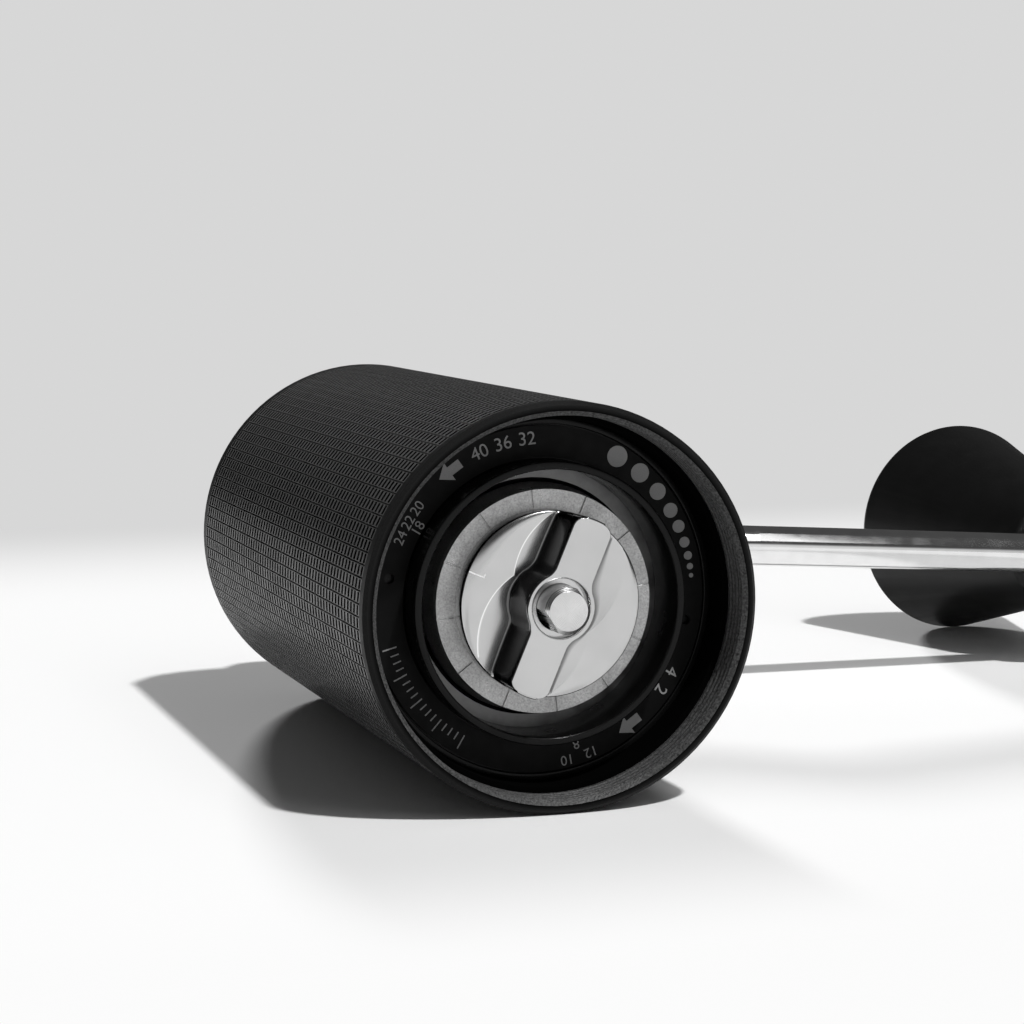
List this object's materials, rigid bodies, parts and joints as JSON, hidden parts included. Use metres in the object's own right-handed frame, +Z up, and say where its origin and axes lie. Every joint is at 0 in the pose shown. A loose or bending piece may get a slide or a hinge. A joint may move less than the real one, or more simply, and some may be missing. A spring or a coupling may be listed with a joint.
{
  "type": "hand coffee grinder",
  "caption": "Hand crank coffee grinder lying on its side: finely ribbed round body, adjusting dial and cone burr in the open lower end, bent crank rod and a conical knob.",
  "frame": {"origin": "on the grinding axis, in the plane of the body's open lower rim", "axes": "+Y along the grinding axis from the open lower end to the lid, +X towards the crank's knob, +Z up as the grinder lies on its side"},
  "size_m": [0.1656, 0.1306, 0.052],
  "materials": {
    "body_black": "fine-blasted and black anodised",
    "carrier_black": "smooth black anodised",
    "scale_black": "satin black anodised with pale printed marks",
    "burr_steel": "bare sintered steel, lightly grained",
    "dark_steel": "blackened steel",
    "bridge_alloy": "machined and tumbled",
    "spring_steel": "oil-tempered",
    "bearing_steel": "ground and polished",
    "shaft_steel": "turned, end face satin",
    "dial_polished": "polished, slightly soft",
    "lid_black": "fine matt texture",
    "seal_rubber": "matt",
    "bush_bronze": "sintered bronze",
    "hub_black": "black anodised",
    "hub_cap_black": "fine matt texture",
    "arm_polished": "polished",
    "pin_steel": "turned",
    "knob_black": "smooth satin",
    "knob_cap_black": "smooth satin"
  },
  "bodies": {
    "housing": {"body_tube": "body_black", "burr_carrier": "carrier_black", "scale_ring": "scale_black", "outer_burr": "burr_steel", "burr_set_screws": "dark_steel", "lower_bridge": "bridge_alloy", "upper_bridge": "bridge_alloy", "snap_ring": "spring_steel", "lower_outer_race": "bearing_steel", "lower_balls": "bearing_steel", "upper_outer_race": "bearing_steel", "upper_balls": "bearing_steel"},
    "spindle": {"drive_shaft": "shaft_steel", "lower_inner_race": "bearing_steel", "upper_inner_race": "bearing_steel", "shaft_clip": "spring_steel", "spring_washer": "dark_steel", "burr_spring": "spring_steel"},
    "burr": {"inner_burr": "burr_steel"},
    "dial": {"adjusting_dial": "dial_polished", "click_ball": "bearing_steel", "click_spring": "spring_steel"},
    "lid": {"lid_cap": "lid_black", "lid_seal": "seal_rubber", "lid_bush": "bush_bronze"},
    "crank": {"crank_hub": "hub_black", "hub_clip": "spring_steel", "hub_cap": "hub_cap_black", "crank_arm": "arm_polished", "arm_set_screw": "dark_steel", "knob_pin": "pin_steel"},
    "knob": {"knob_body": "knob_black", "knob_lower_bush": "bush_bronze", "knob_upper_bush": "bush_bronze", "knob_cap": "knob_cap_black"}
  },
  "joints": [
    {"name": "crank_turn", "type": "hinge", "parent": "housing", "child": "spindle", "pos_m": [0, 0, 0], "axis": [0, -1, 0], "continuous": true},
    {"name": "burr_slide", "type": "slide", "parent": "spindle", "child": "burr", "axis": [0, -1, 0], "range_m": [-0.00083, 0.00167], "deforming": ["burr_spring"]},
    {"name": "dial_turn", "type": "hinge", "parent": "burr", "child": "dial", "pos_m": [0, 0.005, 0], "axis": [0, -1, 0], "range_deg": [-300, 600]},
    {"name": "lid_lift", "type": "slide", "parent": "housing", "child": "lid", "axis": [0, 1, 0], "range_m": [0, 0.012]},
    {"name": "crank_lift", "type": "slide", "parent": "spindle", "child": "crank", "axis": [0, 1, 0], "range_m": [0, 0.012]},
    {"name": "knob_spin", "type": "hinge", "parent": "crank", "child": "knob", "pos_m": [0.12097, 0.1, -0.0074], "axis": [0, 1, 0], "continuous": true}
  ],
  "couplings": [
    {"joint": "dial_turn", "follows": "burr_slide", "rad_per_m": 6283.2},
    {"joint": "crank_lift", "follows": "lid_lift", "ratio": 1}
  ]
}
